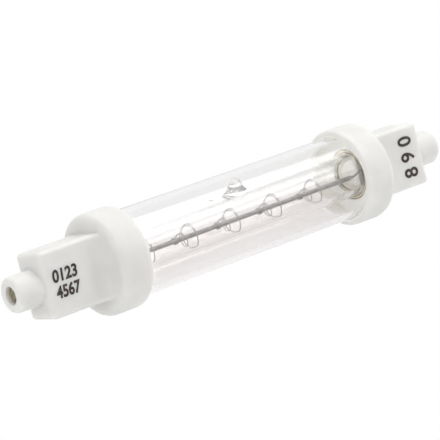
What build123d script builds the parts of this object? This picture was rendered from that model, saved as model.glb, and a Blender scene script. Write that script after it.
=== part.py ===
from build123d import *
import math
import os

# Infrared quartz heat lamp, double ended, with an outer jacket.
# The lamp lies along X with its centre at the origin. Z is the tall way of the end blocks.
# Right-hand pieces are drawn and the left-hand ones are their mirror images.

# Overall
lamp_length = 118.0

# Outer jacket tube, clear quartz
jacket_diameter = 19.0
jacket_wall = 1.25

# Inner bulb, clear quartz: tube, flattened shoulders and pinched ends, exhaust tip
bulb_diameter = 10.0
bulb_wall = 1.25
bulb_seat = 1.4
shoulder_length = 2.8
pinch_thickness = 3.2
pinch_length = 10.1
cavity_tip_thickness = 0.9
cavity_tip_length = 0.4
tip_place = 0.6
tip_lean = 14.0
tip_diameter = 3.4
tip_end_diameter = 1.8
tip_height = 3.0
tip_flare = 1.6
tip_nip = 0.6

# Ceramic end cap: round collar, tall block and round spigot in one casting
socket_depth = 2.8
collar_wall = 1.5
collar_floor = 0.8
outer_rim = 1.5
outer_rim_steps = 3
mouth_rim = 1.0
mouth_rim_steps = 2
block_length = 14.9
block_side_wall = 2.55
block_edge_wall = 1.8
block_edge = 0.5
block_corner = 1.3
block_flare = 3.0
spigot_length = 5.9
spigot_wall = 1.5
spigot_rim = 0.8
spigot_rim_steps = 2
slot_corner = 0.8

# Recessed contact with its stem
contact_diameter = 4.2
contact_thickness = 1.4
contact_dish = 0.45
contact_land = 0.4
recess_depth = 1.8
recess_step = 0.2
stem_diameter = 1.5
stem_length = 3.0
stem_bore_depth = 2.0

# Filament, wound close enough to be a sleeve, and its wire supports. All wire is drawn six-sided.
coil_diameter = 1.1
coil_wall = 0.2
coil_drop = 0.85
coil_end_gap = 1.1
support_count = 5
first_support_margin = 8.5
last_support_margin = 11.5
support_wire = 0.3
grip_turns = 2.0
grip_pitch = 0.4
spiral_length = 3.6
spiral_turns = 1.75
turn_steps = 10
wire_sides = 6

# Leads and sealing foils
inner_lead_wire = 0.5
outer_lead_wire = 0.6
lead_insert = 1.8
lead_straight = 0.6
foil_length = 6.0
foil_width = 2.6
foil_thickness = 0.12
foil_setback = 2.2
foil_overlap = 1.2

# Cement ring round the bulb in the mouth of the block
cement_thickness = 0.8
cement_setback = 0.3

# Clearances
jacket_clearance = 0.05
cement_clearance = 0.02
slot_clearance = 0.25
contact_clearance = 0.05
wire_clearance = 0.03
wall_clearance = 0.06
seal_clearance = 0.02

# Stations along the right half, from the end face inwards
end_face = lamp_length / 2
block_face = end_face - spigot_length
collar_face = block_face - block_length
pinch_start = collar_face - collar_floor
shoulder_start = pinch_start - shoulder_length
socket_floor = shoulder_start - bulb_seat
mouth = socket_floor - socket_depth
pinch_end = pinch_start + pinch_length
slot_end = pinch_end + slot_clearance
contact_face = end_face - recess_depth
contact_back = contact_face - contact_thickness
stem_end = contact_back - stem_length
coil_end = shoulder_start - coil_end_gap
foil_start = pinch_start + foil_setback
foil_end = foil_start + foil_length
inner_lead_end = foil_start + foil_overlap
outer_lead_start = foil_end - foil_overlap

# Radii and widths
jacket_radius = jacket_diameter / 2
collar_radius = jacket_radius + jacket_clearance + collar_wall
bulb_radius = bulb_diameter / 2
bulb_bore = bulb_radius - bulb_wall
bulb_hole = bulb_radius + cement_thickness
slot_thickness = pinch_thickness + 2 * slot_clearance
slot_width = bulb_diameter + 2 * slot_clearance
block_thickness = slot_thickness + 2 * block_side_wall
block_height = slot_width + 2 * block_edge_wall
contact_radius = contact_diameter / 2
contact_seat = contact_radius + contact_clearance
recess_radius = contact_seat + recess_step
spigot_radius = recess_radius + spigot_wall
stem_radius = stem_diameter / 2
coil_radius = coil_diameter / 2
coil_bore = coil_radius - coil_wall
loop_radius = bulb_bore - coil_drop - wall_clearance - support_wire / 2

os.makedirs("parts", exist_ok=True)


def save(piece, label):
    """Name a finished piece and write it under the same name."""
    piece.label = label
    export_step(piece, f"parts/{label}.step")


def save_pair(piece, name):
    """Write a right-hand piece and its mirror image at the left end."""
    save(mirror(piece, about=Plane.YZ), f"left_{name}")
    save(piece, f"right_{name}")


# Jacket tube: one open tube that stands on the floor of both sockets
with BuildPart() as jacket_tube:
    with BuildSketch(Plane.YZ):
        Circle(jacket_radius)
        Circle(jacket_radius - jacket_wall, mode=Mode.SUBTRACT)
    extrude(amount=socket_floor, both=True)
save(jacket_tube.part, "jacket_tube")


def rim_points(corner_x, corner_y, radius, steps, way):
    """Points of a rim that turns a quarter round in a few steps, towards +X or, with way -1, from -X."""
    turns = [math.pi / 2 * step / steps for step in range(steps + 1)]
    points = [(corner_x - way * radius * (1 - math.sin(turn)), corner_y - radius * (1 - math.cos(turn)))
              for turn in turns]
    return points[::way]


# End cap
half = block_thickness / 2
with BuildPart() as end_cap:
    # Block, seen from above: its wide faces curve out into the face of the collar
    with BuildSketch():
        with BuildLine():
            Polyline((pinch_start, 0), (pinch_start, half + block_flare), (collar_face, half + block_flare))
            CenterArc((collar_face + block_flare, half + block_flare), block_flare, 180, 90)
            Line((collar_face + block_flare, half), (block_face - block_corner, half))
            CenterArc((block_face - block_corner, half - block_corner), block_corner, 90, -90)
            Line((block_face, half - block_corner), (block_face, 0))
            mirror(about=Plane.XZ)
        make_face()
    extrude(amount=block_height / 2, both=True)
    buried = end_cap.faces().sort_by(Axis.X)[0].edges()
    rims = end_cap.faces().filter_by(Axis.Z).edges()
    chamfer([edge for edge in rims if edge not in buried], length=block_edge)
    # Seen from the side, its outer corners are rounded too
    with BuildSketch(Plane.XZ) as side_view:
        with Locations(((pinch_start + block_face) / 2, 0)):
            Rectangle(block_face - pinch_start, block_height)
        fillet(side_view.vertices().group_by(Axis.X)[-1], radius=block_corner)
    extrude(amount=half + block_flare, both=True, mode=Mode.INTERSECT)

    # Collar, with a rounded rim at each end
    with BuildSketch():
        with BuildLine():
            Polyline((mouth, 0), *rim_points(mouth, collar_radius, mouth_rim, mouth_rim_steps, -1),
                     *rim_points(collar_face, collar_radius, outer_rim, outer_rim_steps, 1),
                     (collar_face, 0), close=True)
        make_face()
    revolve(axis=Axis.X)

    # Spigot, rounded at its end
    with BuildSketch():
        with BuildLine():
            Polyline((block_face, 0), (block_face, spigot_radius),
                     *rim_points(end_face, spigot_radius, spigot_rim, spigot_rim_steps, 1),
                     (end_face, 0), close=True)
        make_face()
    revolve(axis=Axis.X)

    # Socket for the jacket, hole for the bulb and slot for its pinched end
    with BuildSketch(Plane.YZ.offset(mouth)):
        Circle(jacket_radius + jacket_clearance)
    extrude(amount=socket_depth, mode=Mode.SUBTRACT)
    with BuildSketch(Plane.YZ.offset(mouth)):
        Circle(bulb_hole)
    extrude(amount=pinch_start - mouth, mode=Mode.SUBTRACT)
    with BuildSketch(Plane.YZ.offset(mouth)):
        RectangleRounded(slot_thickness, slot_width, slot_corner)
    extrude(amount=slot_end - mouth, mode=Mode.SUBTRACT)

    # Recess, the stepped seat of the contact below it and the hole for its stem
    with BuildSketch(Plane.YZ.offset(contact_face)):
        Circle(recess_radius)
    extrude(amount=recess_depth, mode=Mode.SUBTRACT)
    with BuildSketch(Plane.YZ.offset(contact_back)):
        Circle(contact_seat)
    extrude(amount=contact_thickness, mode=Mode.SUBTRACT)
    with BuildSketch(Plane.YZ.offset(slot_end)):
        Circle(stem_radius + contact_clearance)
    extrude(amount=contact_back - slot_end, mode=Mode.SUBTRACT)
save_pair(end_cap.part, "end_cap")

# Contact: a dished disc on a stem that is bored for the outer lead
with BuildPart() as contact:
    with BuildSketch():
        with BuildLine():
            Polyline((contact_face - contact_dish, 0), (contact_face, contact_radius - contact_land),
                     (contact_face, contact_radius), (contact_back, contact_radius),
                     (contact_back, stem_radius), (stem_end, stem_radius),
                     (stem_end, outer_lead_wire / 2 + wire_clearance),
                     (stem_end + stem_bore_depth, outer_lead_wire / 2 + wire_clearance),
                     (stem_end + stem_bore_depth, 0), close=True)
        make_face()
    revolve(axis=Axis.X)
save_pair(contact.part, "contact")


def pressed_bar(radius, shoulder, flat_start, flat_thickness, flat_end):
    """A bar along X, round up to the shoulder and pressed flat from there to both ends."""
    rise = bulb_wall / 2
    with BuildPart() as bar:
        with BuildSketch(Plane.YZ):
            Circle(radius)
        extrude(amount=flat_end, both=True)
        with BuildSketch():
            with BuildLine():
                Polyline((0, radius + rise), (shoulder - rise, radius + rise),
                         (flat_start, flat_thickness / 2), (flat_end, flat_thickness / 2), (flat_end, 0))
                mirror(about=Plane.XZ)
                mirror(about=Plane.YZ)
            make_face()
        extrude(amount=radius + rise, both=True, mode=Mode.INTERSECT)
    return bar.part


# Bulb: tube with pinched ends, a leaning exhaust tip, and pockets for what is sealed in it
bulb_cavity = pressed_bar(
    bulb_bore, shoulder_start, pinch_start - cavity_tip_length, cavity_tip_thickness, pinch_start)
foil_offset = (outer_lead_wire + foil_thickness) / 2 + seal_clearance
inner_pocket_length = inner_lead_end - pinch_start + cavity_tip_length + seal_clearance
outer_pocket_length = pinch_end - outer_lead_start + seal_clearance
with BuildPart() as quartz_bulb:
    add(pressed_bar(bulb_radius, shoulder_start, pinch_start, pinch_thickness, pinch_end))
    tip_slope = math.radians(tip_lean)
    tip_plane = Plane((tip_place, 0, 0), (math.cos(tip_slope), 0, -math.sin(tip_slope)), (0, -1, 0))
    tip_top = bulb_radius + tip_height
    with BuildSketch(tip_plane):
        with BuildLine():
            Polyline((0, bulb_bore), (tip_diameter / 2 + tip_flare, bulb_bore),
                     (tip_diameter / 2, bulb_radius + tip_flare / 2),
                     (tip_end_diameter / 2, tip_top - tip_nip), (tip_nip / 2, tip_top), (0, tip_top),
                     close=True)
        make_face()
    revolve(axis=Axis(tip_plane.origin, tip_plane.y_dir))
    add(bulb_cavity, mode=Mode.SUBTRACT)
    # Pockets in the pinches: both leads and the foil between them
    for end in (-1, 1):
        with BuildSketch(Plane((end * (pinch_start - cavity_tip_length), 0, 0), (0, 1, 0), (end, 0, 0))):
            RegularPolygon(inner_lead_wire / 2 + seal_clearance, wire_sides)
        extrude(amount=inner_pocket_length, mode=Mode.SUBTRACT)
        with BuildSketch(Plane((end * (outer_lead_start - seal_clearance), 0, 0), (0, 1, 0), (end, 0, 0))):
            RegularPolygon(outer_lead_wire / 2 + seal_clearance, wire_sides)
        extrude(amount=outer_pocket_length, mode=Mode.SUBTRACT)
        with Locations((end * (foil_start + foil_end) / 2, foil_offset, 0)):
            Box(foil_length + 2 * seal_clearance, foil_thickness + 2 * seal_clearance,
                foil_width + 2 * seal_clearance, mode=Mode.SUBTRACT)
save(quartz_bulb.part, "quartz_bulb")

# Filament: a long close coil, low in the bulb where its supports rest on the glass
coil_plane = Plane((0, 0, -coil_drop), (0, 1, 0), (1, 0, 0))
with BuildPart() as filament_coil:
    with BuildSketch(coil_plane):
        Circle(coil_radius)
        Circle(coil_bore, mode=Mode.SUBTRACT)
    extrude(amount=coil_end, both=True)
save(filament_coil.part, "filament_coil")


def support_route(ring_place):
    """Points of one support's wire: close turns round the coil, a widening spiral and one wide turn."""
    step_turn = 2 * math.pi / turn_steps
    grip_radius = (coil_radius + wire_clearance + support_wire / 2) / math.cos(step_turn / 2)
    spiral_start = ring_place - spiral_length
    grip_start = spiral_start - grip_turns * grip_pitch
    grip_steps = round(grip_turns * turn_steps)
    spiral_steps = round(spiral_turns * turn_steps)
    points = []
    for step in range(grip_steps + spiral_steps + turn_steps):
        turned = step * step_turn
        widening = min(max(step - grip_steps, 0) / spiral_steps, 1)
        along = min(step, grip_steps) / turn_steps * grip_pitch + widening * spiral_length
        radius = grip_radius + widening * (loop_radius - grip_radius)
        across = radius * math.cos(turned)
        height = radius * math.sin(turned) - coil_drop
        points.append((grip_start + along, across, height))
    return points


def filament_support(ring_place):
    """One wire support whose wide turn stands at the given place along the lamp."""
    with BuildPart() as support:
        with BuildLine():
            wire = Polyline(*support_route(ring_place))
        with BuildSketch(Plane(wire @ 0, z_dir=wire % 0)):
            RegularPolygon(support_wire / 2, wire_sides)
        sweep(transition=Transition.RIGHT)
    return support.part


first_ring = -coil_end + first_support_margin
last_ring = coil_end - last_support_margin
support_pitch = (last_ring - first_ring) / (support_count - 1)
for number in range(support_count):
    save(filament_support(first_ring + number * support_pitch), f"filament_support_{number + 1}")

# Inner lead: from the bore of the coil up to the middle of the pinch
with BuildPart() as inner_lead:
    with BuildLine(Plane.XZ):
        route = Polyline((coil_end - lead_insert, -coil_drop), (coil_end + lead_straight, -coil_drop),
                         (pinch_start - lead_straight, 0), (inner_lead_end, 0))
    with BuildSketch(Plane(route @ 0, (0, 1, 0), (1, 0, 0))):
        RegularPolygon(inner_lead_wire / 2, wire_sides)
    sweep(transition=Transition.RIGHT)
save_pair(inner_lead.part, "inner_lead")

# Foil: a thin strip beside the ends of both leads
with BuildPart() as foil:
    with Locations(((foil_start + foil_end) / 2, foil_offset, 0)):
        Box(foil_length, foil_thickness, foil_width)
save_pair(foil.part, "foil")

# Outer lead: from the foil into the bored stem of the contact
with BuildPart() as outer_lead:
    with BuildSketch(Plane((outer_lead_start, 0, 0), (0, 1, 0), (1, 0, 0))):
        RegularPolygon(outer_lead_wire / 2, wire_sides)
    extrude(amount=stem_end + stem_bore_depth - seal_clearance - outer_lead_start)
save_pair(outer_lead.part, "outer_lead")

# Cement ring between the bulb and its hole, a little below the floor of the socket
with BuildPart() as cement:
    with BuildSketch(Plane.YZ.offset(socket_floor + cement_setback)):
        Circle(bulb_hole - cement_clearance)
        Circle(bulb_radius + cement_clearance, mode=Mode.SUBTRACT)
    extrude(amount=shoulder_start - socket_floor - cement_setback)
save_pair(cement.part, "cement")
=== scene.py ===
import math

import bmesh
import bpy
from mathutils import Matrix, Vector


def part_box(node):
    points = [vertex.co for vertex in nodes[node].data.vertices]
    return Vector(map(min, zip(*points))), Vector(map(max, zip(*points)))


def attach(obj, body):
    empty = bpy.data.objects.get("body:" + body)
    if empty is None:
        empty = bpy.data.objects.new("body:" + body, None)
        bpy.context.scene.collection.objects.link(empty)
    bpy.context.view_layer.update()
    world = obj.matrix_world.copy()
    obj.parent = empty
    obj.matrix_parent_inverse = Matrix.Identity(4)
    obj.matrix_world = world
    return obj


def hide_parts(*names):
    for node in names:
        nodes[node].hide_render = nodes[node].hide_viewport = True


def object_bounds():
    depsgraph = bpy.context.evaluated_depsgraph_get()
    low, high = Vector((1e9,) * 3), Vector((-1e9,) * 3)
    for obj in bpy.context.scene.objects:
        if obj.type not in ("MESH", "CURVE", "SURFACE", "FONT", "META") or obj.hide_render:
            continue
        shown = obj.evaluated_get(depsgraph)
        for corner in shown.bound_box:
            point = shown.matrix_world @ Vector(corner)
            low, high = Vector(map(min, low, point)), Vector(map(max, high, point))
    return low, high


# Infrared quartz heat lamp: glass jacket and bulb, the wound filament and its round wire supports,
# the cast end caps with their printed figures, contacts and cement. The foils and the leads are the
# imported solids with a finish. Lengths are in metres: X along the lamp, Z up, the origin at its middle.

MM = 0.001
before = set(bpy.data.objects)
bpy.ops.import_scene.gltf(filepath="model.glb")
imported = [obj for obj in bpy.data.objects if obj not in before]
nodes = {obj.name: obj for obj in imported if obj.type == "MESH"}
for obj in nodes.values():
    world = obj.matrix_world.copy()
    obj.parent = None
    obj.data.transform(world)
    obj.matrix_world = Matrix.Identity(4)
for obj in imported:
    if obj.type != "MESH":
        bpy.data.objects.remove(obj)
cad_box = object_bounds()
scene = bpy.context.scene


# Jacket and bulb

JACKET_WALL = 1.25 * MM
JACKET_SIDES = 160
JACKET_STEPS = 40
JACKET_END_STEPS = 10
BULB_WALL = 1.25 * MM
BULB_RADIUS = 5 * MM
BULB_SIDES = 96
BULB_STEPS = 36
BULB_LEFT_STEPS = 40
CAVITY_STEPS = 60
SHOULDER_STEPS = 12
PINCH_STEPS = 8
SHOULDER_START = 34.6 * MM
PINCH_START = 37.4 * MM
PINCH_THICKNESS = 3.2 * MM
CAVITY_TIP = 0.9 * MM
QUARTZ_BENDING = 1.458
# Painted shade in the glass's tint: full below the first height, none above the second
SHADED_BELOW = -3 * MM
UNSHADED_ABOVE = 5 * MM
CLEAR_FROM = 27 * MM
CLEAR_TO = 31 * MM

# The melted exhaust tip, as shares of its height with the radius there

TIP_PLACE = 0.6 * MM
TIP_LEAN = math.radians(14)
TIP_PATCH = 3.0 * MM
TIP_BEFORE = 5 * MM
TIP_AFTER = 7 * MM
TIP_SIDES = 36
TIP_BLEND = 0.8 * MM
TIP_SUNK = 1.2 * MM
TIP_SMOOTHING = 4
TIP_PROFILE = (
    (0.12, 2.1 * MM), (0.35, 1.6 * MM), (0.6, 1.3 * MM),
    (0.8, 1.0 * MM), (0.93, 0.6 * MM), (1.0, 0.25 * MM),
)

# Filament and its supports

FILAMENT_WIRE = 0.2 * MM
FILAMENT_PITCH = 0.31 * MM
FILAMENT_SIDES = 6
COIL_STEPS = 14
SUPPORT_COUNT = 5
SUPPORT_WIRE = 0.23 * MM
SUPPORT_SIDES = 8
GRIP_TURNS = 2.75
GRIP_PITCH = 0.32 * MM
GRIP_GAP = 0.03 * MM
SPIRAL_LENGTH = 3.6 * MM
SPIRAL_TURNS = 1.75
TURN_STEPS = 28

# End caps, their figures, contacts and cement

# The painted light inside each socket covers the ceramic within this radius and short of the collar's
# outer face
SOCKET_RADIUS = 9.8 * MM
COLLAR_FACE = 38.0 * MM
CAST_GRAIN = 0.2 * MM
CAST_SOFTENING = 6
BLOCK_THICKNESS = 8.8 * MM
INK_SUNK = 0.05 * MM
INK_PROUD = 0.02 * MM
SLANT = 0.12
SLANTED_WEIGHT = 0.034
TURNED_WEIGHT = 0.02
CONTACT_SIDES = 64
CONTACT_RISE = 0.7 * MM
CONTACT_DISH = 0.35 * MM
DISH_STEPS = 8
HEAD_DISH = 1.35 * MM
HEAD_RADIUS = 1.8 * MM
HEAD_EDGE = 0.12 * MM
FLANGE = 1.4 * MM
STEM_RADIUS = 0.75 * MM
BROWNED_FROM = 1.6 * MM
BROWNED_TO = 2.2 * MM
RECESS_RADIUS = 1.9 * MM
RECESS_STEP = 0.25 * MM
RECESS_BLEND = 0.9 * MM
CEMENT_GAP = 0.02 * MM
# The cement's middle radius, from which the painted shade at its edges is measured, and where its front
# ends
CEMENT_MIDDLE = 5.4 * MM
CEMENT_FRONT = 34.0 * MM
SMOOTH_ANGLE = math.radians(35)

# Light: each lamp's place, width, depth and power, and whether it lights more than the clear glass

FLOOR_DROP = 10 * MM
FLOOR_SIZE = 3
GLOSS_WHITE = 0.1
WORLD_LIGHT = 0.8
LAMPS = {
    "top_right_softbox": ((0.2, -0.12, 0.52), 0.4, 0.45, 1.9, True),
    "front_softbox": ((0.45, -0.6, 0.05), 0.4, 0.4, 0.2, True),
    "left_softbox": ((-0.75, -0.25, 0.12), 0.4, 0.4, 1.1, True),
    "band_softbox": ((0.36, -0.415, 0.25), 0.7, 0.2, 1.5, False),
}


# Camera, as fitted to the outline of the lamp in the photograph

CAMERA_AZIMUTH = math.radians(53.84)
CAMERA_HEIGHT = math.radians(7.635)
CAMERA_ROLL = math.radians(-14.21)
CAMERA_DISTANCE = 503 * MM
CAMERA_ASIDE = 2.923 * MM
CAMERA_BELOW = 0.859 * MM
FOCAL_PIXELS = 2334
PHOTO_PIXELS = 440
SENSOR_WIDTH = 36


def add_camera():
    """The camera looks at the lamp from the front left, a little from above, and is rolled."""
    towards = Vector((
        -math.cos(CAMERA_AZIMUTH) * math.cos(CAMERA_HEIGHT),
        -math.sin(CAMERA_AZIMUTH) * math.cos(CAMERA_HEIGHT),
        math.sin(CAMERA_HEIGHT),
    ))
    level_right = Vector((0, 0, 1)).cross(towards).normalized()
    level_up = towards.cross(level_right)
    right = level_right * math.cos(CAMERA_ROLL) + level_up * math.sin(CAMERA_ROLL)
    up = level_up * math.cos(CAMERA_ROLL) - level_right * math.sin(CAMERA_ROLL)
    place = towards * CAMERA_DISTANCE - right * CAMERA_ASIDE - up * CAMERA_BELOW
    data = bpy.data.cameras.new("camera")
    data.sensor_width = SENSOR_WIDTH
    data.lens = SENSOR_WIDTH * FOCAL_PIXELS / PHOTO_PIXELS
    data.clip_start = 0.01
    data.clip_end = 20
    camera = bpy.data.objects.new("camera", data)
    scene.collection.objects.link(camera)
    turn = Matrix((right, up, towards)).transposed().to_4x4()
    camera.matrix_world = Matrix.Translation(place) @ turn
    scene.camera = camera


# Shader maths: a socket that adds, multiplies and so on by writing an expression


class Value:
    """A shader socket, or the node tree that makes new ones."""

    def __init__(self, tree, socket=None):
        self.tree = tree
        self.socket = socket

    def node(self, kind, settings=None, output=0, **inputs):
        """Add a node with its settings first, then its inputs by name, or by number as in _0."""
        made = self.tree.nodes.new(kind)
        for name, setting in (settings or {}).items():
            setattr(made, name, setting)
        for name, value in inputs.items():
            slot = made.inputs[int(name[1:]) if name[0] == "_" else name]
            if isinstance(value, Value):
                self.tree.links.new(value.socket, slot)
            else:
                slot.default_value = value
        return Value(self.tree, made.outputs[output])

    def maths(self, operation, first, second=0.0):
        return self.node("ShaderNodeMath", {"operation": operation}, _0=first, _1=second)

    def __add__(self, other):
        return self.maths("ADD", self, other)

    def __radd__(self, other):
        return self.maths("ADD", other, self)

    def __sub__(self, other):
        return self.maths("SUBTRACT", self, other)

    def __rsub__(self, other):
        return self.maths("SUBTRACT", other, self)

    def __mul__(self, other):
        return self.maths("MULTIPLY", self, other)

    def __rmul__(self, other):
        return self.maths("MULTIPLY", other, self)

    def at_most(self, other):
        return self.maths("MINIMUM", self, other)

    def smooth(self, low, high):
        """Nought below low, one above high, and a soft step between."""
        return self.node(
            "ShaderNodeMapRange", {"interpolation_type": "SMOOTHSTEP"}, _0=self, _1=low, _2=high
        )


def blend_colours(factor, first, second):
    """One colour faded into another."""
    return factor.node(
        "ShaderNodeMix", {"data_type": "RGBA"}, output=2, _0=factor, _6=first, _7=second
    )


def new_material(name):
    """A material, its Principled shader and a Value that starts its nodes."""
    material = bpy.data.materials.new(name)
    material.use_nodes = True
    tree = material.node_tree
    shader = next(node for node in tree.nodes if node.type == "BSDF_PRINCIPLED")
    return material, shader, Value(tree)


def link(value, shader, name):
    value.tree.links.new(value.socket, shader.inputs[name])


def noise(start, scale, detail=2.0, place=None):
    """Soft noise in object space, with its scale in grains per metre."""
    place = place or start.node("ShaderNodeTexCoord", output=3)
    return start.node("ShaderNodeTexNoise", Vector=place, Scale=scale, Detail=detail)


def from_axis(start, place):
    """How far a place lies from the axis of the lamp."""
    across = start.node("ShaderNodeSeparateXYZ", output=1, Vector=place)
    up = start.node("ShaderNodeSeparateXYZ", output=2, Vector=place)
    return start.maths("SQRT", across * across + up * up)


def mix_output(start, factor, first, second):
    """Let the material's output show one surface faded into another."""
    mixed = start.node("ShaderNodeMixShader", _0=factor, _1=first, _2=second)
    output = next(node for node in start.tree.nodes if node.type == "OUTPUT_MATERIAL")
    start.tree.links.new(mixed.socket, output.inputs["Surface"])


def bumped(start, shader, height, distance, strength):
    bump = start.node("ShaderNodeBump", Height=height, Distance=distance, Strength=strength)
    link(bump, shader, "Normal")


# Finishes


def quartz(name, shaded_low_tint, high_tint, draw_lines):
    """Clear drawn quartz, greyer low down from painted shade and clearest at its ends, that lets plain
    light through.
    """
    material, shader, start = new_material(name)
    place = start.node("ShaderNodeTexCoord", output=3)
    height = start.node("ShaderNodeSeparateXYZ", output=2, Vector=place)
    along = start.node("ShaderNodeSeparateXYZ", output=0, Vector=place)
    # Painted shade: the glass is given a greyer tint low down
    tint_with_painted_shade = blend_colours(height.smooth(SHADED_BELOW, UNSHADED_ABOVE), shaded_low_tint, high_tint)
    from_middle = start.maths("ABSOLUTE", along).smooth(CLEAR_FROM, CLEAR_TO)
    link(blend_colours(from_middle, tint_with_painted_shade, (1, 1, 1, 1)), shader, "Base Color")
    shader.inputs["Roughness"].default_value = 0.0
    shader.inputs["IOR"].default_value = QUARTZ_BENDING
    shader.inputs["Transmission Weight"].default_value = 1.0
    drawn = start.node("ShaderNodeMapping", Vector=place, Scale=(12, 900, 900))
    lines = noise(start, 1.0, 2.0, place=drawn)
    bumped(start, shader, lines, 0.00002, draw_lines)
    clear = start.node("ShaderNodeBsdfTransparent", Color=(0.995, 0.995, 0.995, 1))
    from_lamp = start.node("ShaderNodeLightPath", output=1)
    from_matt = start.node("ShaderNodeLightPath", output=2)
    passed = (from_lamp + from_matt).at_most(1.0)
    mix_output(start, passed, Value(start.tree, shader.outputs[0]), clear)
    return material


def ceramic():
    """White cast steatite: faint clouds in its tone, fine grain and a satin skin, with painted light
    that makes the inside of the sockets much paler.
    """
    material, shader, start = new_material("cast_ceramic")
    clouds = noise(start, 160, 3.0)
    specks = noise(start, 2600, 2.0).smooth(0.66, 0.78)
    skin = blend_colours(clouds.smooth(0.3, 0.7), (0.66, 0.655, 0.635, 1), (0.70, 0.695, 0.68, 1))
    skin = blend_colours(specks * 0.25, skin, (0.56, 0.53, 0.48, 1))
    place = start.node("ShaderNodeTexCoord", output=3)
    along = start.maths("ABSOLUTE", start.node("ShaderNodeSeparateXYZ", output=0, Vector=place))
    # Painted light: the ceramic inside each socket is given a much paler colour so that it reads lighter
    # through the glass
    socket_painted_light = (SOCKET_RADIUS - from_axis(start, place)).smooth(-0.1 * MM, 0.1 * MM)
    socket_painted_light = socket_painted_light * (COLLAR_FACE - along).smooth(-0.1 * MM, 0.1 * MM)
    link(blend_colours(socket_painted_light, skin, (0.84, 0.835, 0.80, 1)), shader, "Base Color")
    link(0.42 + noise(start, 700, 2.0) * 0.16, shader, "Roughness")
    bumped(start, shader, noise(start, 1800, 4.0) + clouds, 0.00003, 0.5)
    shader.inputs["Specular IOR Level"].default_value = 0.35
    shader.inputs["Subsurface Weight"].default_value = 0.7
    shader.inputs["Subsurface Radius"].default_value = (1.0, 0.95, 0.85)
    shader.inputs["Subsurface Scale"].default_value = 0.0018
    return material


def metal(name, dark, pale, rough, grain):
    """A bare metal with patches between two tones and a fine grain."""
    material, shader, start = new_material(name)
    patches = noise(start, grain, 3.0)
    link(blend_colours(patches.smooth(0.3, 0.7), dark, pale), shader, "Base Color")
    link(rough + patches * 0.15, shader, "Roughness")
    bumped(start, shader, noise(start, grain * 4, 3.0), 0.00001, 0.4)
    shader.inputs["Metallic"].default_value = 1.0
    return material


def contact_metal():
    """The contact's plated steel, browned by heat towards its edge."""
    material, shader, start = new_material("browned_contact")
    stain = noise(start, 900, 4.0)
    radius = from_axis(start, start.node("ShaderNodeTexCoord", output=3))
    edge = (radius + stain * (0.6 * MM)).smooth(BROWNED_FROM, BROWNED_TO)
    tone = blend_colours(stain.smooth(0.35, 0.65), (0.15, 0.135, 0.085, 1), (0.34, 0.32, 0.22, 1))
    link(blend_colours(edge, tone, (0.34, 0.25, 0.15, 1)), shader, "Base Color")
    link(0.38 + stain * 0.25, shader, "Roughness")
    bumped(start, shader, stain, 0.00004, 0.5)
    shader.inputs["Metallic"].default_value = 0.75
    return material


def cement():
    """The coarse matt cement that holds the bulb: beige in front, with painted shade in dark brown at
    its edges against the bulb and the hole, pale behind.
    """
    material, shader, start = new_material("fired_cement")
    grains = noise(start, 1400, 5.0)
    place = start.node("ShaderNodeTexCoord", output=3)
    from_middle = start.maths("ABSOLUTE", from_axis(start, place) - CEMENT_MIDDLE)
    along = start.maths("ABSOLUTE", start.node("ShaderNodeSeparateXYZ", output=0, Vector=place))
    front = (CEMENT_FRONT - along).smooth(0, 0.2 * MM)
    # Painted shade: dark brown at the front edges of the cement, in the crevices against the bulb and
    # the hole
    edge_shade = (from_middle + grains * (0.2 * MM)).smooth(0.16 * MM, 0.36 * MM) * front
    tone = blend_colours(grains.smooth(0.35, 0.65), (0.52, 0.46, 0.34, 1), (0.72, 0.67, 0.55, 1))
    pale = blend_colours(grains.smooth(0.35, 0.65), (0.88, 0.86, 0.80, 1), (0.95, 0.94, 0.90, 1))
    tone = blend_colours(front, pale, tone)
    link(blend_colours(edge_shade, tone, (0.20, 0.155, 0.085, 1)), shader, "Base Color")
    link(0.75 + grains * 0.2, shader, "Roughness")
    bumped(start, shader, grains, 0.00015, 0.7)
    return material


def printed_ink():
    """Stamped dark brown ink with thin places."""
    material, shader, start = new_material("stamped_ink")
    patches = noise(start, 1500, 3.0)
    tone = blend_colours(patches.smooth(0.4, 0.75), (0.022, 0.014, 0.012, 1), (0.085, 0.06, 0.05, 1))
    link(tone, shader, "Base Color")
    link(0.5 + patches * 0.25, shader, "Roughness")
    bumped(start, shader, patches, 0.00002, 0.4)
    return material


def dress(name, material):
    """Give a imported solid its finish."""
    data = nodes[name].data
    data.materials.clear()
    data.materials.append(material)


# Pieces


def steps_between(first, last, count):
    return [first + (last - first) * step / count for step in range(count + 1)]


def add_piece(name, data, replaced=()):
    """Put a finished mesh in the scene as a piece of the lamp's body, and hide the solids it stands for.
    """
    piece = bpy.data.objects.new(name, data)
    scene.collection.objects.link(piece)
    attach(piece, "root")
    if replaced:
        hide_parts(*replaced)


def new_piece(name, mesh_maker, material, replaced):
    """Make a piece from a bmesh and give it its finish."""
    shape = bmesh.new()
    mesh_maker(shape)
    data = bpy.data.meshes.new(name)
    shape.to_mesh(data)
    shape.free()
    data.materials.append(material)
    data.shade_smooth()
    data.set_sharp_from_angle(angle=SMOOTH_ANGLE)
    add_piece(name, data, replaced)


def lathe(shape, profile, steps, closed=True):
    """Spin a section about the lamp's axis: a closed one, or one that starts and ends on the axis."""
    section = [shape.verts.new((x, 0, r)) for x, r in profile]
    for here, there in zip(section, section[1:] + (section[:1] if closed else [])):
        shape.edges.new((here, there))
    bmesh.ops.spin(
        shape, geom=shape.verts[:] + shape.edges[:], cent=(0, 0, 0), axis=(1, 0, 0),
        angle=math.tau, steps=steps, use_merge=True,
    )
    bmesh.ops.remove_doubles(shape, verts=shape.verts, dist=1e-7)
    bmesh.ops.recalc_face_normals(shape, faces=shape.faces)


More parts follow.
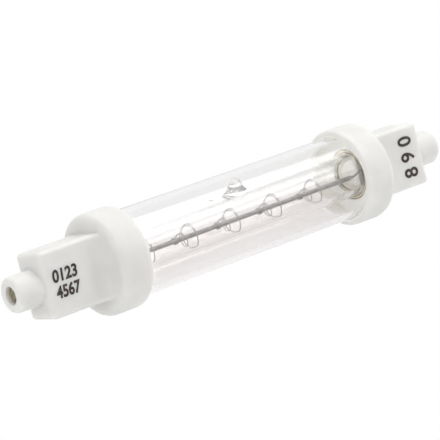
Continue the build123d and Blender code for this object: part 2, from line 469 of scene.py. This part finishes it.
def jacket(shape):
    """The open outer tube, with fire-polished ends."""
    low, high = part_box("jacket_tube")
    half = JACKET_WALL / 2
    middle = high.z - half
    along = steps_between(low.x + half, high.x - half, JACKET_STEPS)
    turns = [math.pi * step / JACKET_END_STEPS for step in range(1, JACKET_END_STEPS)]
    profile = (
        [(place, middle + half) for place in along]
        + [(along[-1] + half * math.sin(turn), middle + half * math.cos(turn)) for turn in turns]
        + [(place, middle - half) for place in reversed(along)]
        + [(along[0] - half * math.sin(turn), middle - half * math.cos(turn)) for turn in turns]
    )
    lathe(shape, profile, JACKET_SIDES)


def contact_button(end):
    """The maker of one contact: a dished head in the narrow recess, its flange and its stem."""
    low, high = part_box("right_contact")

    def button(shape):
        face = high.x + CONTACT_RISE
        shares = steps_between(0, 1, DISH_STEPS)
        profile = [(face - CONTACT_DISH * (1 - share ** 2), HEAD_DISH * share) for share in shares]
        profile += [
            (face, HEAD_RADIUS - HEAD_EDGE), (face - HEAD_EDGE, HEAD_RADIUS), (high.x, HEAD_RADIUS),
            (high.x, high.z), (high.x - FLANGE, high.z), (high.x - FLANGE, STEM_RADIUS),
            (low.x, STEM_RADIUS), (low.x, 0),
        ]
        section = [(end * place, radius) for place, radius in profile]
        lathe(shape, section, CONTACT_SIDES, closed=False)

    return button


def pressed(place, radius, flat_half):
    """Half thickness of the bulb at a place along it: the tube narrows softly to its pinch."""
    along = min(max((abs(place) - SHOULDER_START) / (PINCH_START - SHOULDER_START), 0), 1)
    easing = (1 - math.cos(math.pi * along)) / 2
    return radius + (flat_half - radius) * easing


def pressed_tube(shape, stations, radius, flat_half):
    """A closed round tube along X whose rings are flattened towards both ends."""
    made = bmesh.ops.create_circle(
        shape, segments=BULB_SIDES, radius=radius,
        matrix=Matrix.Translation((stations[0], 0, 0)) @ Matrix.Rotation(math.pi / 2, 4, "Y"),
    )
    rings = [made["verts"]]
    edges = list({edge for vert in made["verts"] for edge in vert.link_edges})
    for before, here in zip(stations, stations[1:]):
        grown = bmesh.ops.extrude_edge_only(shape, edges=edges)["geom"]
        ring = [part for part in grown if isinstance(part, bmesh.types.BMVert)]
        fresh = set(ring)
        edges = [
            part for part in grown
            if isinstance(part, bmesh.types.BMEdge) and fresh.issuperset(part.verts)
        ]
        bmesh.ops.translate(shape, verts=ring, vec=(here - before, 0, 0))
        rings.append(ring)
    bmesh.ops.holes_fill(shape, edges=shape.edges[:], sides=0)
    for ring in rings:
        half = pressed(ring[0].co.x, radius, flat_half)
        for vert in ring:
            vert.co.y = min(max(vert.co.y, -half), half)


def cement_fill(end):
    """The maker of the cement at one end: it fills the hole round the pressed shoulder of the bulb."""
    low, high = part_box("right_cement")

    def fill(shape):
        stations = [low.x] + steps_between(SHOULDER_START, PINCH_START, PINCH_STEPS)
        section = [(place, high.z) for place in (stations[-1], stations[0])]
        section += [(place, BULB_RADIUS + CEMENT_GAP) for place in stations]
        rings = []
        for place, radius in section:
            made = bmesh.ops.create_circle(
                shape, segments=BULB_SIDES, radius=radius,
                matrix=Matrix.Translation((place, 0, 0)) @ Matrix.Rotation(math.pi / 2, 4, "Y"),
            )
            rings.append(made["verts"])
        for (place, radius), ring in list(zip(section, rings))[2:]:
            half = pressed(place, radius, PINCH_THICKNESS / 2 + CEMENT_GAP)
            for vert in ring:
                vert.co.y = min(max(vert.co.y, -half), half)
        loops = [list({edge for vert in ring for edge in vert.link_edges}) for ring in rings]
        for here, there in zip(loops, loops[1:] + loops[:1]):
            bmesh.ops.bridge_loops(shape, edges=here + there)
        bmesh.ops.scale(shape, vec=(end, 1, 1), verts=shape.verts)
        bmesh.ops.recalc_face_normals(shape, faces=shape.faces)

    return fill


def bulb(shape):
    """The inner bulb: a tube with pinched ends and a melted exhaust tip that leans to the right."""
    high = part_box("quartz_bulb")[1]
    end = high.x
    radius = high.y
    tip_start, tip_end = TIP_PLACE - TIP_BEFORE, TIP_PLACE + TIP_AFTER
    stations = sorted(set(
        steps_between(-end, -PINCH_START, PINCH_STEPS)
        + steps_between(-PINCH_START, -SHOULDER_START, SHOULDER_STEPS)
        + steps_between(-SHOULDER_START, tip_start, BULB_LEFT_STEPS)
        + steps_between(tip_start, tip_end, BULB_STEPS)
        + steps_between(tip_end, SHOULDER_START, BULB_STEPS)
        + steps_between(SHOULDER_START, PINCH_START, SHOULDER_STEPS)
        + steps_between(PINCH_START, end, PINCH_STEPS)
    ))
    pressed_tube(shape, stations, radius, PINCH_THICKNESS / 2)
    add_tip(shape, radius, high.z)
    bmesh.ops.recalc_face_normals(shape, faces=shape.faces)
    cavity = bmesh.new()
    stations = (
        steps_between(-PINCH_START, -SHOULDER_START, SHOULDER_STEPS)
        + steps_between(-SHOULDER_START, SHOULDER_START, CAVITY_STEPS)[1:]
        + steps_between(SHOULDER_START, PINCH_START, SHOULDER_STEPS)[1:]
    )
    pressed_tube(cavity, stations, radius - BULB_WALL, CAVITY_TIP / 2)
    bmesh.ops.recalc_face_normals(cavity, faces=cavity.faces)
    bmesh.ops.reverse_faces(cavity, faces=cavity.faces)
    inner = bpy.data.meshes.new("cavity")
    cavity.to_mesh(inner)
    cavity.free()
    shape.from_mesh(inner)
    bpy.data.meshes.remove(inner)


def add_tip(shape, radius, top):
    """Cut a round patch out of the tube's top and join a melted nipple to its edge."""
    lean = Matrix.Rotation(TIP_LEAN, 4, "Y")
    stand = Matrix.Translation((TIP_PLACE, 0, 0)) @ lean
    to_tip = stand.inverted()
    patch = set()
    for face in shape.faces:
        middle = to_tip @ face.calc_center_median()
        if middle.z > 0 and math.hypot(middle.x, middle.y) < TIP_PATCH:
            patch.add(face)
    rim = [edge for edge in {edge for face in patch for edge in face.edges}
           if sum(face in patch for face in edge.link_faces) == 1]
    bmesh.ops.delete(shape, geom=list(patch), context="FACES")
    height = top / math.cos(TIP_LEAN)
    rings = []
    for share, width in TIP_PROFILE:
        made = bmesh.ops.create_circle(
            shape, segments=TIP_SIDES, radius=width,
            matrix=stand @ Matrix.Translation((0, 0, radius + share * (height - radius))),
        )
        rings.append(list({edge for vert in made["verts"] for edge in vert.link_edges}))
    bmesh.ops.bridge_loops(shape, edges=rim + rings[0])
    for below, above in zip(rings, rings[1:]):
        bmesh.ops.bridge_loops(shape, edges=below + above)
    bmesh.ops.holes_fill(shape, edges=rings[-1], sides=0)
    near = [vert for vert in shape.verts
            if (to_tip @ vert.co).z > radius - TIP_SUNK
            and math.hypot((to_tip @ vert.co).x, (to_tip @ vert.co).y) < TIP_PATCH + TIP_BLEND]
    for _ in range(TIP_SMOOTHING):
        bmesh.ops.smooth_vert(
            shape, verts=near, factor=0.5, use_axis_x=True, use_axis_y=True, use_axis_z=True
        )


def filament_points():
    """The long close coil of one wire."""
    low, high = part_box("filament_coil")
    centre_height = (low.z + high.z) / 2
    winding = (high.z - low.z) / 2 - FILAMENT_WIRE / 2
    turns = (high.x - low.x - FILAMENT_WIRE) / FILAMENT_PITCH
    points = []
    for step in range(round(turns * COIL_STEPS) + 1):
        turn = step / COIL_STEPS
        angle = turn * math.tau
        points.append((
            low.x + FILAMENT_WIRE / 2 + turn * FILAMENT_PITCH,
            winding * math.cos(angle), winding * math.sin(angle) + centre_height,
        ))
    return points


def wire_along(name, points, thickness, sides, material, replaced):
    """A round wire that follows a list of points, made a mesh."""
    curve = bpy.data.curves.new(name + "_route", "CURVE")
    curve.dimensions = "3D"
    curve.bevel_depth = thickness / 2
    curve.bevel_resolution = sides // 2 - 2
    curve.use_fill_caps = True
    spline = curve.splines.new("POLY")
    spline.points.add(len(points) - 1)
    for knot, point in zip(spline.points, points):
        knot.co = (*point, 1)
    route = bpy.data.objects.new(name + "_route", curve)
    scene.collection.objects.link(route)
    bpy.context.view_layer.update()
    data = bpy.data.meshes.new_from_object(route)
    bpy.data.objects.remove(route)
    bpy.data.curves.remove(curve)
    data.name = name
    data.materials.clear()
    data.materials.append(material)
    data.shade_smooth()
    add_piece(name, data, [replaced])


def support_points(ring_place, loop_radius, centre_height):
    """Close turns round the coil, a widening spiral, and one wide turn that rests on the glass."""
    coil_low, coil_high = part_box("filament_coil")
    grip_radius = (coil_high.z - coil_low.z) / 2 + SUPPORT_WIRE / 2 + GRIP_GAP
    grip_start = ring_place - SPIRAL_LENGTH - GRIP_TURNS * GRIP_PITCH
    total = GRIP_TURNS + SPIRAL_TURNS + 1
    points = []
    for step in range(round(total * TURN_STEPS) + 1):
        turn = step / TURN_STEPS
        widening = min(max((turn - GRIP_TURNS) / SPIRAL_TURNS, 0), 1)
        along = min(turn, GRIP_TURNS) * GRIP_PITCH + widening * SPIRAL_LENGTH
        radius = grip_radius + (loop_radius - grip_radius) * widening
        angle = turn * math.tau
        points.append((
            grip_start + along, radius * math.cos(angle), radius * math.sin(angle) + centre_height
        ))
    return points


def narrow_recess(data):
    """Draw the wall of the recess inwards, and the end face of the spigot after it."""
    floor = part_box("right_contact")[1].x
    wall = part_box("right_contact")[1].z + RECESS_STEP
    rim = wall + RECESS_BLEND
    for vert in data.vertices:
        radius = math.hypot(vert.co.y, vert.co.z)
        if abs(vert.co.x) > floor and 0 < radius < rim:
            share = min((rim - radius) / RECESS_BLEND, 1)
            narrowed = radius - share * (wall - RECESS_RADIUS)
            vert.co.y *= narrowed / radius
            vert.co.z *= narrowed / radius


def soft_cast(name, material, replaced):
    """A cast piece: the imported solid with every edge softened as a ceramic's are."""
    data = nodes[replaced].data.copy()
    shape = bmesh.new()
    shape.from_mesh(data)
    bmesh.ops.remove_doubles(shape, verts=shape.verts, dist=1e-6)
    shape.to_mesh(data)
    shape.free()
    rough = bpy.data.objects.new(name + "_rough", data)
    scene.collection.objects.link(rough)
    remesh = rough.modifiers.new("cast", "REMESH")
    remesh.mode = "VOXEL"
    remesh.voxel_size = CAST_GRAIN
    soften = rough.modifiers.new("soften", "SMOOTH")
    soften.factor = 0.5
    soften.iterations = CAST_SOFTENING
    bpy.context.view_layer.update()
    softened = rough.evaluated_get(bpy.context.evaluated_depsgraph_get())
    finished = bpy.data.meshes.new_from_object(softened)
    bpy.data.objects.remove(rough)
    narrow_recess(finished)
    finished.materials.clear()
    finished.materials.append(material)
    finished.shade_smooth()
    add_piece(name, finished, [replaced])


def stamped_figures(name, text, low, high, turned, material):
    """A line of figures in ink on a block's front face, fitted to the box between two corners."""
    curve = bpy.data.curves.new(name + "_type", "FONT")
    curve.body = text
    curve.size = 1.0
    curve.offset = TURNED_WEIGHT if turned else SLANTED_WEIGHT
    curve.extrude = 0.5
    curve.shear = 0.0 if turned else SLANT
    letters = bpy.data.objects.new(name + "_type", curve)
    scene.collection.objects.link(letters)
    bpy.context.view_layer.update()
    data = bpy.data.meshes.new_from_object(letters)
    bpy.data.objects.remove(letters)
    bpy.data.curves.remove(curve)
    least = [min(vert.co[axis] for vert in data.vertices) for axis in range(3)]
    most = [max(vert.co[axis] for vert in data.vertices) for axis in range(3)]
    face = -BLOCK_THICKNESS / 2
    for vert in data.vertices:
        share = [(vert.co[axis] - least[axis]) / (most[axis] - least[axis]) for axis in range(3)]
        depth = face + INK_SUNK - share[2] * (INK_SUNK + INK_PROUD)
        if turned:
            along = high[0] - share[1] * (high[0] - low[0])
            up = low[1] + share[0] * (high[1] - low[1])
        else:
            along = low[0] + share[0] * (high[0] - low[0])
            up = low[1] + share[1] * (high[1] - low[1])
        vert.co = (along, depth, up)
    data.materials.clear()
    data.materials.append(material)
    add_piece(name, data)


# Stage and light


def background_share(start):
    """How much of the plain white a ray sees: all of it straight or through glass, part in a gloss."""
    straight = start.node("ShaderNodeLightPath", output=0)
    through = start.node("ShaderNodeLightPath", output=6)
    glossy = start.node("ShaderNodeLightPath", output=3)
    return (straight + through + glossy * GLOSS_WHITE).at_most(1.0)


def add_stage():
    """A white floor some way under the lamp that goes on past the view, as white as the world."""
    floor_level = cad_box[0][2] - FLOOR_DROP
    shape = bmesh.new()
    bmesh.ops.create_grid(shape, x_segments=1, y_segments=1, size=FLOOR_SIZE)
    bmesh.ops.translate(shape, verts=shape.verts, vec=(0, 0, floor_level))
    data = bpy.data.meshes.new("floor")
    shape.to_mesh(data)
    shape.free()
    floor = bpy.data.objects.new("floor", data)
    scene.collection.objects.link(floor)
    material, shader, start = new_material("white_floor")
    shader.inputs["Base Color"].default_value = (0.85, 0.85, 0.85, 1)
    shader.inputs["Roughness"].default_value = 0.9
    shader.inputs["Specular IOR Level"].default_value = 0.1
    seen = background_share(start)
    white = start.node("ShaderNodeEmission", Color=(1, 1, 1, 1), Strength=1.0)
    mix_output(start, seen, Value(start.tree, shader.outputs[0]), white)
    data.materials.append(material)


def add_lights():
    """Soft boxes above, in front and to the left, one for the band in the glass, and a pale world."""
    for name, (place, width, depth, power, lights_all) in LAMPS.items():
        data = bpy.data.lights.new(name, "AREA")
        data.shape = "RECTANGLE"
        data.size = width
        data.size_y = depth
        data.energy = power
        lamp = bpy.data.objects.new(name, data)
        lamp.visible_diffuse = lights_all
        lamp.visible_glossy = lights_all
        scene.collection.objects.link(lamp)
        turn = (-Vector(place)).to_track_quat("-Z", "Y").to_matrix().to_4x4()
        lamp.matrix_world = Matrix.Translation(place) @ turn
    world = bpy.data.worlds.new("studio")
    world.use_nodes = True
    scene.world = world
    start = Value(world.node_tree)
    straight = start.node("ShaderNodeLightPath", output=0)
    through = start.node("ShaderNodeLightPath", output=6)
    background = next(node for node in world.node_tree.nodes if node.type == "BACKGROUND")
    strength = WORLD_LIGHT + (straight + through).at_most(1.0) * (1 - WORLD_LIGHT)
    world.node_tree.links.new(strength.socket, background.inputs["Strength"])
    background.inputs["Color"].default_value = (1, 1, 1, 1)


# Enough bounces for the two walls of glass and the inside of the caps

scene.cycles.max_bounces = 32
scene.cycles.transmission_bounces = 32
scene.cycles.transparent_max_bounces = 32
scene.cycles.glossy_bounces = 12
scene.cycles.diffuse_bounces = 8

add_camera()
add_lights()
add_stage()

# The first tint of each glass is its painted shade low down, the second its tint higher up
jacket_quartz = quartz("jacket_quartz", (0.88, 0.86, 0.855, 1), (0.93, 0.925, 0.925, 1), 0.3)
bulb_quartz = quartz("bulb_quartz", (0.985, 0.98, 0.975, 1), (0.99, 0.99, 0.985, 1), 0.25)
white_ceramic = ceramic()
tungsten = metal("drawn_tungsten", (0.36, 0.35, 0.35, 1), (0.58, 0.56, 0.56, 1), 0.35, 1200)
molybdenum = metal("rolled_molybdenum", (0.30, 0.28, 0.27, 1), (0.5, 0.48, 0.47, 1), 0.3, 900)
browned = contact_metal()
fired_cement = cement()

new_piece("jacket_glass", jacket, jacket_quartz, ["jacket_tube"])
new_piece("bulb_glass", bulb, bulb_quartz, ["quartz_bulb"])
wire_along(
    "wound_filament", filament_points(), FILAMENT_WIRE, FILAMENT_SIDES, tungsten,
    "filament_coil",
)
coil_height = sum(corner.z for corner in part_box("filament_coil")) / 2
for number in range(1, SUPPORT_COUNT + 1):
    low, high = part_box(f"filament_support_{number}")
    loop_radius = (high.y - low.y) / 2 - SUPPORT_WIRE / 2
    points = support_points(high.x - SUPPORT_WIRE / 2, loop_radius, coil_height)
    wire_along(
        f"support_wire_{number}", points, SUPPORT_WIRE, SUPPORT_SIDES, tungsten,
        f"filament_support_{number}",
    )
for end, side in (("left", -1), ("right", 1)):
    soft_cast(f"{end}_cast_cap", white_ceramic, f"{end}_end_cap")
    new_piece(f"{end}_cement_fill", cement_fill(side), fired_cement, [f"{end}_cement"])
    new_piece(
        f"{end}_contact_button", contact_button(side), browned, [f"{end}_contact"]
    )
    dress(f"{end}_foil", molybdenum)
    dress(f"{end}_inner_lead", tungsten)
    dress(f"{end}_outer_lead", molybdenum)

ink = printed_ink()
stamped_figures("upper_figures", "0123", (-51 * MM, 0.1 * MM), (-44.8 * MM, 2.75 * MM), False, ink)
stamped_figures("lower_figures", "4567", (-51 * MM, -3.3 * MM), (-44.8 * MM, -0.6 * MM), False, ink)
stamped_figures("right_figures", "8 9 0", (46.3 * MM, -4.8 * MM), (50.4 * MM, 4.7 * MM), True, ink)

scene.view_settings.view_transform = "Standard"
